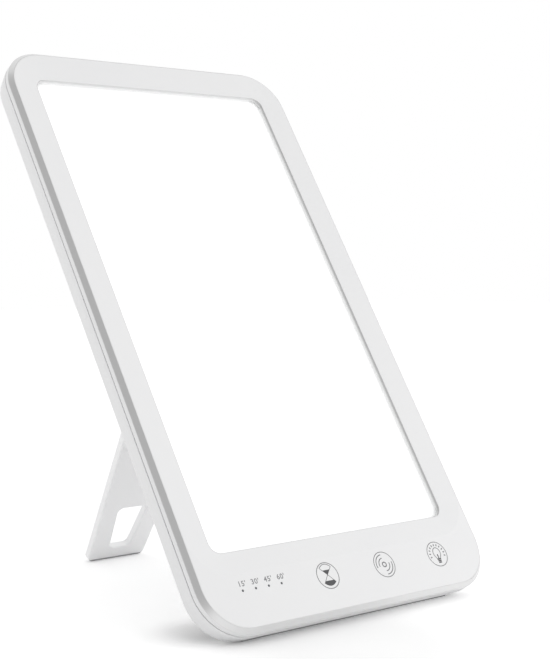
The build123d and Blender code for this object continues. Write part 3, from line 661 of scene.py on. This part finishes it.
# %% [markdown]
# ## The studio
#
# The lamp is white on white, so the picture lives on small differences. The room is one large soft
# light that falls off a little towards the left, so the sides that face left are slightly greyer. A
# dark flag hangs high on the left, behind the camera. Only the reflections see it: it is what turns
# the ring's bevel grey on that side. What the camera sees of the room is plain white.

# %% The room
LIGHT_LEFT = 0.82
LIGHT_RIGHT = 1.06
FLAG_DIRECTION = Vector((-0.7, -0.46, 0.55)).normalized()
FLAG_GREY = 0.58
FLAG_CORE = 38.0
FLAG_EDGE = 60.0

world = bpy.data.worlds.new("white studio")
world.use_nodes = True
bpy.context.scene.world = world
tree = world.node_tree
tree.nodes.clear()
looking = add_node(tree, "ShaderNodeTexCoord").outputs["Generated"]
aim = add_node(tree, "ShaderNodeVectorMath", {0: looking, 1: FLAG_DIRECTION},
               operation="DOT_PRODUCT")
flag = add_node(tree, "ShaderNodeMapRange",
                {"Value": aim.outputs["Value"], "From Min": cos(radians(FLAG_EDGE)),
                 "From Max": cos(radians(FLAG_CORE)), "To Min": 1.0, "To Max": FLAG_GREY},
                interpolation_type="SMOOTHSTEP")
ray = add_node(tree, "ShaderNodeLightPath")
sideways = add_node(tree, "ShaderNodeSeparateXYZ", {"Vector": looking})
room = add_node(tree, "ShaderNodeMapRange",
                {"Value": sideways.outputs["X"], "From Min": -1.0, "From Max": 1.0,
                 "To Min": LIGHT_LEFT, "To Max": LIGHT_RIGHT})
mirrored = larger_of(tree, ray.outputs["Is Glossy Ray"], ray.outputs["Is Transmission Ray"])
lighting = add_node(tree, "ShaderNodeMapRange",
                    {"Value": mirrored, "To Min": room.outputs["Result"],
                     "To Max": flag.outputs["Result"]})
strength = add_node(tree, "ShaderNodeMapRange",
                    {"Value": ray.outputs["Is Camera Ray"], "To Min": lighting.outputs["Result"]})
sky = add_node(tree, "ShaderNodeBackground",
               {"Color": linear("#FFFFFF"), "Strength": strength.outputs["Result"]})
add_node(tree, "ShaderNodeOutputWorld", {"Surface": sky.outputs["Background"]})
print("flag towards", [round(value, 2) for value in FLAG_DIRECTION])

# %% [markdown]
# A small softbox stands low on the right, close to the lamp. It adds a few hundredths to the light at
# the lower right corner and almost nothing at the upper left, which gives the flat face its gradient.

# %% The softbox
SOFTBOX_PLACE = Vector((300, -400, 110)) * MM
SOFTBOX_AIM = Vector((60, -60, 60)) * MM
SOFTBOX_SIZE = 0.25
SOFTBOX_POWER = 0.2


def aimed(place, aim):
    """A matrix that puts a light or a camera in one place and points it at another."""
    turn = (aim - place).to_track_quat("-Z", "Y").to_matrix().to_4x4()
    return Matrix.Translation(place) @ turn


softbox_light = bpy.data.lights.new("softbox", "AREA")
softbox_light.size = SOFTBOX_SIZE
softbox_light.energy = SOFTBOX_POWER
softbox = bpy.data.objects.new("softbox", softbox_light)
softbox.matrix_world = aimed(SOFTBOX_PLACE, SOFTBOX_AIM)
softbox.visible_camera = False
bpy.context.scene.collection.objects.link(softbox)
print("softbox", round((SOFTBOX_AIM - SOFTBOX_PLACE).length, 2), "m away")

# %% [markdown]
# The floor is a wide board, painted white. It has to look as white as the room and still show the
# lamp's shadow, so the paint is lit like everything else, and what the camera sees gets a little light
# of its own on top. There is less of that light just in front of the lamp, so its front edge stands in
# a soft shade. A room that lights every side also washes out the shadow where things come close to the
# floor. Behind the lower left corner, which the softbox doesn't reach either, an Ambient Occlusion
# node deepens the paint within 45 mm of the lamp. Round the stand's foot it does so a little.

# %% The floor
FLOOR_SIZE = 8.0
FLOOR_GLOW = 0.24
GLOW_FRONT = 0.06
FRONT_PLACE = Vector((-30, -125, 0)) * MM
FRONT_NEAR = 25.0
FRONT_FAR = 80.0
CONTACT_REACH = 45.0
SHADED_PLACES = ((Vector((-64, -62, 0)) * MM, 1.0), (Vector((-6, 90, 0)) * MM, 0.14))
FADE_START = 8.0
FADE_END = 32.0

floor_mesh = bpy.data.meshes.new("floor")
half = FLOOR_SIZE / 2
corners = [(-half, -half, 0), (half, -half, 0), (half, half, 0), (-half, half, 0)]
floor_mesh.from_pydata(corners, [], [(0, 1, 2, 3)])
floor = bpy.data.objects.new("floor", floor_mesh)
bpy.context.scene.collection.objects.link(floor)

paint, tree, shader = new_material("white matt paint")
ray = add_node(tree, "ShaderNodeLightPath")
mirrored = larger_of(tree, ray.outputs["Is Glossy Ray"], ray.outputs["Is Transmission Ray"])
seen = larger_of(tree, ray.outputs["Is Camera Ray"], mirrored)
place = add_node(tree, "ShaderNodeTexCoord").outputs["Object"]
from_front = add_node(tree, "ShaderNodeVectorMath", {0: place, 1: FRONT_PLACE},
                      operation="DISTANCE")
level = add_node(tree, "ShaderNodeMapRange",
                 {"Value": from_front.outputs["Value"], "From Min": FRONT_NEAR * MM,
                  "From Max": FRONT_FAR * MM, "To Min": GLOW_FRONT, "To Max": FLOOR_GLOW},
                 interpolation_type="SMOOTHSTEP")
glow = add_node(tree, "ShaderNodeMath", {0: seen, 1: level.outputs["Result"]},
                operation="MULTIPLY")
open_space = add_node(tree, "ShaderNodeAmbientOcclusion", {"Distance": CONTACT_REACH * MM},
                      samples=16)
closeness = add_node(tree, "ShaderNodeMapRange",
                     {"Value": open_space.outputs["AO"], "From Min": 1.0, "From Max": 0.0})
fades = []
for spot, depth in SHADED_PLACES:
    away = add_node(tree, "ShaderNodeVectorMath", {0: place, 1: spot}, operation="DISTANCE")
    fade = add_node(tree, "ShaderNodeMapRange",
                    {"Value": away.outputs["Value"], "From Min": FADE_END * MM,
                     "From Max": FADE_START * MM, "To Max": depth},
                    interpolation_type="SMOOTHSTEP")
    fades.append(fade.outputs["Result"])
shade = add_node(tree, "ShaderNodeMath",
                 {0: closeness.outputs["Result"], 1: larger_of(tree, *fades)},
                 operation="MULTIPLY")
tone = add_node(tree, "ShaderNodeMix",
                {0: shade.outputs["Value"], 6: linear("#FAFAFA"), 7: linear("#6C6C6C")},
                data_type="RGBA")
tree.links.new(glow.outputs["Value"], shader.inputs["Emission Strength"])
tree.links.new(tone.outputs[2], shader.inputs["Emission Color"])
tree.links.new(tone.outputs[2], shader.inputs["Base Color"])
shader.inputs["Roughness"].default_value = 0.9
shader.inputs["Specular IOR Level"].default_value = 0.0
floor_mesh.materials.append(paint)
print("floor", FLOOR_SIZE, "m wide")

# %% [markdown]
# ## The camera
#
# The camera stands half a metre in front and to the left, a little above the table, and looks almost
# level at the middle of the face. A lens of 80 mm on a 36 mm frame keeps the perspective mild.

# %% Camera
CAMERA_PLACE = Vector((-446.1, -552.6, 156.2)) * MM
CAMERA_AIM = Vector((12.7, -23.2, 125.1)) * MM
CAMERA_ROLL = -0.44
LENS = 80.37

lens = bpy.data.cameras.new("camera")
lens.lens = LENS
lens.sensor_width = 36.0
lens.sensor_fit = "AUTO"
camera = bpy.data.objects.new("camera", lens)
roll = Matrix.Rotation(radians(CAMERA_ROLL), 4, "Z")
camera.matrix_world = aimed(CAMERA_PLACE, CAMERA_AIM) @ roll
bpy.context.scene.collection.objects.link(camera)
bpy.context.scene.camera = camera
bpy.context.scene.view_settings.view_transform = "Standard"
print("camera", round((CAMERA_AIM - CAMERA_PLACE).length, 3), "m away")
